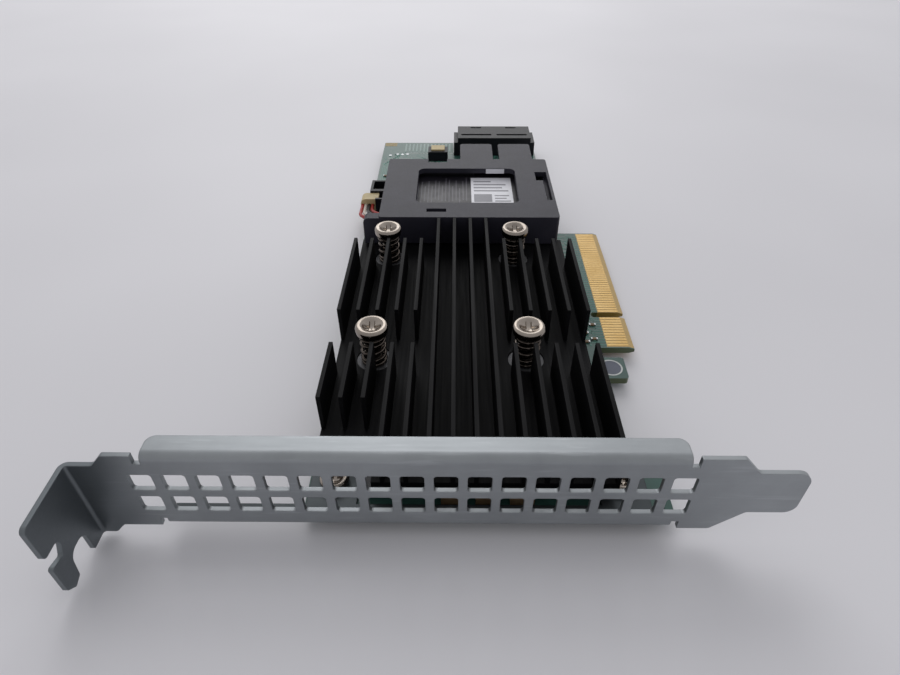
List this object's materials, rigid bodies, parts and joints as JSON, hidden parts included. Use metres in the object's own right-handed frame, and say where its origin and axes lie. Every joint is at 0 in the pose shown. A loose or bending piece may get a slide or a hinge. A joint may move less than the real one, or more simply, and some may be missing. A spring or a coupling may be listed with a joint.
{
  "type": "raid controller card",
  "caption": "Low-profile-size storage controller card with a full-height vented bracket, finned heat sink, battery carrier and dual SAS connector.",
  "frame": {"origin": "middle of the key notch on the finger edge, at the component face of the board", "axes": "+X out of the card into the slot, +Y from the bracket to the rear edge, +Z out of the component face"},
  "size_m": [0.1201, 0.1796, 0.0216],
  "materials": {
    "bare_metal": "satin",
    "battery_wrap": "film wrap",
    "black_anodised": "black anodised",
    "black_plastic": "moulded",
    "black_wire": "insulation",
    "bracket_steel": "zinc-plated steel",
    "capacitor": "ceramic",
    "carrier_plastic": "fine matt",
    "circuit_board": "green solder mask",
    "cream_plastic": "matt",
    "ferrite": "pressed powder",
    "gold": "gold plate",
    "nickel": "bright nickel",
    "red_wire": "insulation",
    "thermal_pad": "matt",
    "white_wire": "insulation"
  },
  "bodies": {
    "root": {"battery_carrier": "carrier_plastic", "battery_header": "black_plastic", "battery_lead_black": "black_wire", "battery_lead_red": "red_wire", "battery_lead_red_inner": "red_wire", "battery_lead_white": "white_wire", "battery_pack": "battery_wrap", "battery_plug": "cream_plastic", "bracket": "bracket_steel", "bracket_nuts": "nickel", "bracket_screw_left": "nickel", "bracket_screw_right": "nickel", "can_capacitor_1": "capacitor", "can_capacitor_2": "capacitor", "can_capacitor_3": "capacitor", "circuit_board": "circuit_board", "controller_chip": "black_plastic", "controller_lid": "bare_metal", "coupling_capacitors": "capacitor", "decoupling_capacitors": "capacitor", "edge_contacts_back": "gold", "edge_contacts_front": "gold", "flash_chip_1": "black_plastic", "flash_chip_2": "black_plastic", "heat_sink": "black_anodised", "inductor_1": "ferrite", "inductor_2": "ferrite", "memory_chip_1": "black_plastic", "memory_chip_2": "black_plastic", "memory_chip_3": "black_plastic", "memory_chip_4": "black_plastic", "memory_chip_5": "black_plastic", "rear_header": "black_plastic", "rear_header_insert": "cream_plastic", "sas_blade_left": "black_plastic", "sas_blade_right": "black_plastic", "sas_connector": "black_plastic", "sink_nuts": "nickel", "sink_screw_1": "nickel", "sink_screw_2": "nickel", "sink_screw_3": "nickel", "sink_screw_4": "nickel", "sink_spring_1": "nickel", "sink_spring_2": "nickel", "sink_spring_3": "nickel", "sink_spring_4": "nickel", "thermal_pad": "thermal_pad"}
  },
  "joints": []
}
